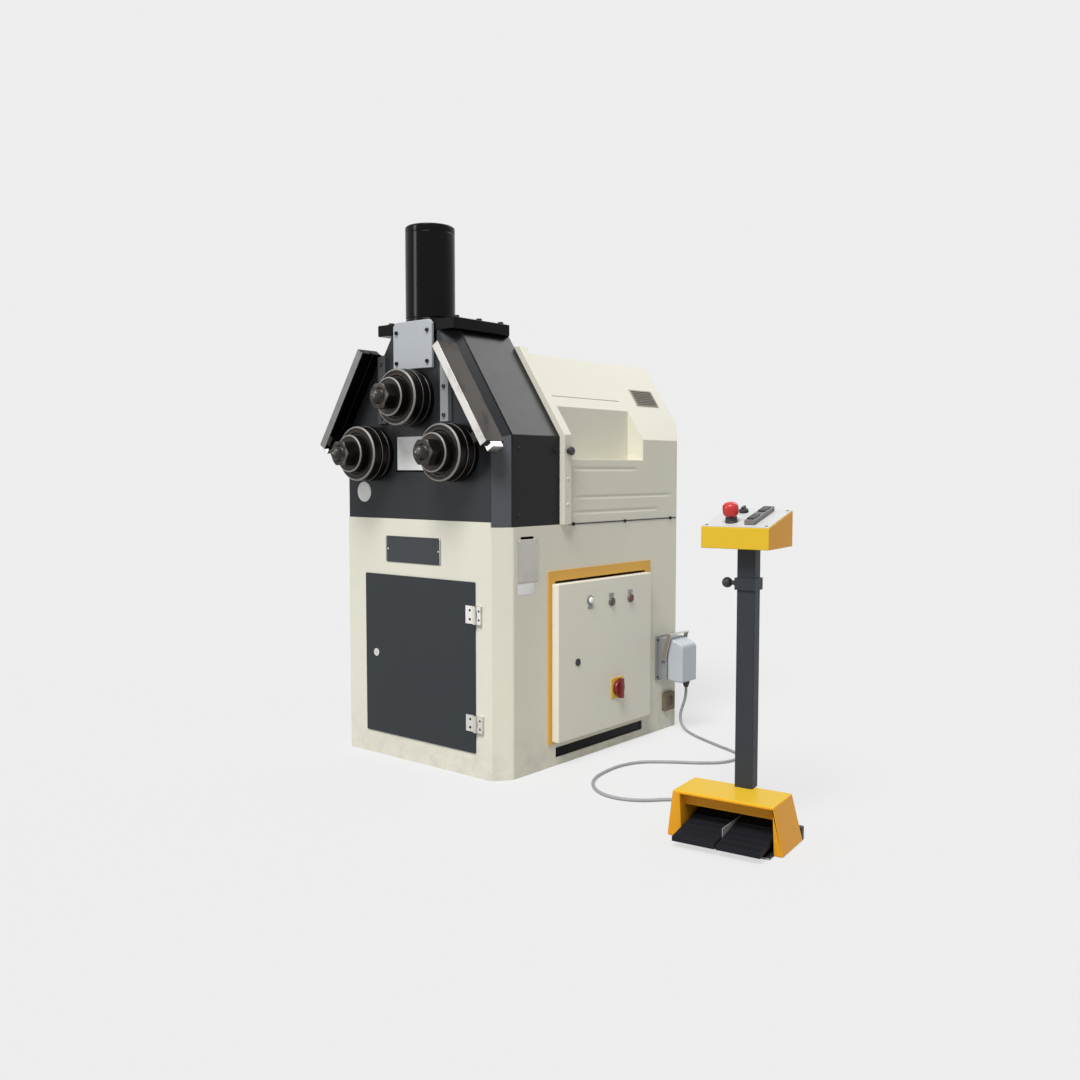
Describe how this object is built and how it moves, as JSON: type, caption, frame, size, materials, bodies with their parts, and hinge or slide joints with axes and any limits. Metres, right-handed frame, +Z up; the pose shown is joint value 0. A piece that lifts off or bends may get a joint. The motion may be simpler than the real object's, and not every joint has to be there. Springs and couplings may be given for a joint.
{
  "type": "ring roller",
  "caption": "Three-roll section bender on a steel cabinet with a hydraulic top roll, geared lower rolls, slanted side guides, electrical box and a cabled foot pedal console.",
  "frame": {"origin": "centre of the cabinet's footprint on the floor", "axes": "+Z up, -Y towards the front where the rolls are, +X towards the side with the electrical box"},
  "size_m": [1.6541, 1.173, 1.68],
  "materials": {
    "cream": "satin paint",
    "graphite": "satin paint",
    "grey_paint": "satin paint",
    "black_gloss": "gloss paint",
    "black_plastic": "moulded",
    "light_grey": "satin paint",
    "white_paint": "satin paint",
    "orange": "satin paint",
    "yellow": "satin paint",
    "red": "moulded",
    "dark_red": "moulded",
    "steel": "turned",
    "dark_steel": "blackened",
    "cast_iron": "painted dark grey",
    "cable_grey": "sheathed cable"
  },
  "bodies": {
    "machine": {"base_cabinet": "cream", "name_plate": "grey_paint", "data_plate": "light_grey", "hinge_upper": "steel", "hinge_lower": "steel", "electrical_box": "orange", "switchgear_panel": "light_grey", "connector_housing": "cast_iron", "connector_plug": "light_grey", "hydraulic_unit": "graphite", "head_frame": "graphite", "head_cover": "grey_paint", "rear_bearing_plate": "cast_iron", "cap_plate": "graphite", "hydraulic_cylinder": "black_gloss", "slide_cover_plate": "grey_paint", "side_guide_rail_left": "steel", "side_guide_rail_right": "steel", "lower_left_bearing_flange": "dark_steel", "lower_right_bearing_flange": "dark_steel", "gear_motor": "cast_iron", "rear_hood": "cream", "pedestal_hood": "yellow", "foot_switch_base": "black_plastic", "pedestal_column": "graphite", "console_case": "yellow", "console_panel": "light_grey", "console_block": "cable_grey", "control_cable": "cable_grey"},
    "slide": {"top_slide": "graphite", "cylinder_rod": "steel", "top_bearing_flange": "dark_steel"},
    "top_roll": {"top_shaft": "steel", "top_roll": "dark_steel", "top_lock_nut": "dark_steel"},
    "lower_left_roll": {"lower_left_shaft": "steel", "lower_left_roll": "dark_steel", "lower_left_lock_nut": "dark_steel", "drive_gear_left": "steel"},
    "lower_right_roll": {"lower_right_shaft": "steel", "lower_right_roll": "dark_steel", "lower_right_lock_nut": "dark_steel", "drive_gear_right": "steel"},
    "pinion": {"drive_pinion": "steel"},
    "guide_block_left": {"side_guide_block_left": "steel"},
    "guide_block_right": {"side_guide_block_right": "steel"},
    "front_door": {"front_door": "graphite"},
    "front_door_lock": {"front_door_lock": "steel"},
    "electrical_door": {"electrical_door": "white_paint"},
    "electrical_door_lock": {"electrical_door_lock": "dark_steel"},
    "door_button_left": {"door_button_left": "dark_red"},
    "door_button_right": {"door_button_right": "dark_red"},
    "main_switch": {"main_switch_handle": "red"},
    "connector_lever": {"connector_lever": "steel"},
    "hood_knob": {"hood_knob": "black_plastic"},
    "pedal_left": {"pedal_left": "black_plastic"},
    "pedal_right": {"pedal_right": "black_plastic"},
    "column_knob": {"column_knob": "black_plastic"},
    "estop_button": {"estop_button": "red"},
    "selector_knob": {"selector_knob": "black_plastic"}
  },
  "joints": [
    {"name": "slide_travel", "type": "slide", "parent": "machine", "child": "slide", "axis": [0, 0, 1], "range_m": [-0.12, 0]},
    {"name": "top_roll_spin", "type": "hinge", "parent": "slide", "child": "top_roll", "pos_m": [0, -0.5, 1.148], "axis": [0, 1, 0], "continuous": true},
    {"name": "lower_left_spin", "type": "hinge", "parent": "machine", "child": "lower_left_roll", "pos_m": [-0.185, -0.5, 0.978], "axis": [0, 1, 0], "continuous": true},
    {"name": "lower_right_spin", "type": "hinge", "parent": "machine", "child": "lower_right_roll", "pos_m": [0.185, -0.5, 0.978], "axis": [0, 1, 0], "continuous": true},
    {"name": "pinion_spin", "type": "hinge", "parent": "machine", "child": "pinion", "pos_m": [0, -0.27, 0.978], "axis": [0, 1, 0], "continuous": true},
    {"name": "guide_left_travel", "type": "slide", "parent": "machine", "child": "guide_block_left", "axis": [0.545, 0, 0.8384], "range_m": [0, 0.25]},
    {"name": "guide_right_travel", "type": "slide", "parent": "machine", "child": "guide_block_right", "axis": [-0.545, 0, 0.8384], "range_m": [0, 0.25]},
    {"name": "front_door_hinge", "type": "hinge", "parent": "machine", "child": "front_door", "pos_m": [0.2624, -0.5088, 0.333], "axis": [0, 0, 1], "range_deg": [0, 110]},
    {"name": "front_door_lock_turn", "type": "hinge", "parent": "front_door", "child": "front_door_lock", "pos_m": [-0.18, -0.5036, 0.335], "axis": [0, -1, 0], "range_deg": [0, 90]},
    {"name": "electrical_door_hinge", "type": "hinge", "parent": "machine", "child": "electrical_door", "pos_m": [0.37775, 0.2458, 0.327], "axis": [0, 0, 1], "range_deg": [0, 110]},
    {"name": "electrical_door_lock_turn", "type": "hinge", "parent": "electrical_door", "child": "electrical_door_lock", "pos_m": [0.3903, -0.173, 0.321], "axis": [1, 0, 0], "range_deg": [0, 90]},
    {"name": "door_button_left_push", "type": "slide", "parent": "electrical_door", "child": "door_button_left", "axis": [-1, 0, 0], "range_m": [0, 0.0035], "stiffness_N_per_m": 400, "springref_m": -0.002},
    {"name": "door_button_right_push", "type": "slide", "parent": "electrical_door", "child": "door_button_right", "axis": [-1, 0, 0], "range_m": [0, 0.0035], "stiffness_N_per_m": 400, "springref_m": -0.002},
    {"name": "main_switch_turn", "type": "hinge", "parent": "electrical_door", "child": "main_switch", "pos_m": [0.3933, 0.04, 0.207], "axis": [-1, 0, 0], "range_deg": [0, 90]},
    {"name": "connector_lever_turn", "type": "hinge", "parent": "machine", "child": "connector_lever", "pos_m": [0.3883, 0.3775, 0.2625], "axis": [0, 1, 0], "range_deg": [0, 85]},
    {"name": "hood_knob_turn", "type": "hinge", "parent": "machine", "child": "hood_knob", "pos_m": [0.3783, -0.2082, 0.985], "axis": [1, 0, 0], "continuous": true},
    {"name": "pedal_left_press", "type": "hinge", "parent": "machine", "child": "pedal_left", "pos_m": [1.12128, -0.43413, 0.046], "axis": [0.9925, 0.1219, 0], "range_deg": [0, 3.2], "stiffness_Nm_per_rad": 4, "springref_deg": -11.46},
    {"name": "pedal_right_press", "type": "hinge", "parent": "machine", "child": "pedal_right", "pos_m": [1.12128, -0.43413, 0.046], "axis": [0.9925, 0.1219, 0], "range_deg": [0, 3.2], "stiffness_Nm_per_rad": 4, "springref_deg": -11.46},
    {"name": "column_knob_turn", "type": "hinge", "parent": "machine", "child": "column_knob", "pos_m": [1.088, -0.42814, 0.642], "axis": [-0.9925, -0.1219, 0], "continuous": true},
    {"name": "estop_push", "type": "slide", "parent": "machine", "child": "estop_button", "axis": [-0.0267, 0.2178, -0.9756], "range_m": [0, 0.004], "stiffness_N_per_m": 600, "springref_m": -0.002},
    {"name": "selector_turn", "type": "hinge", "parent": "machine", "child": "selector_knob", "pos_m": [1.07405, -0.36134, 0.8179], "axis": [0.0267, -0.2178, 0.9756], "range_deg": [-45, 45]}
  ],
  "couplings": [
    {"joint": "lower_right_spin", "follows": "lower_left_spin", "ratio": 1},
    {"joint": "pinion_spin", "follows": "lower_left_spin", "ratio": -1.8462}
  ]
}
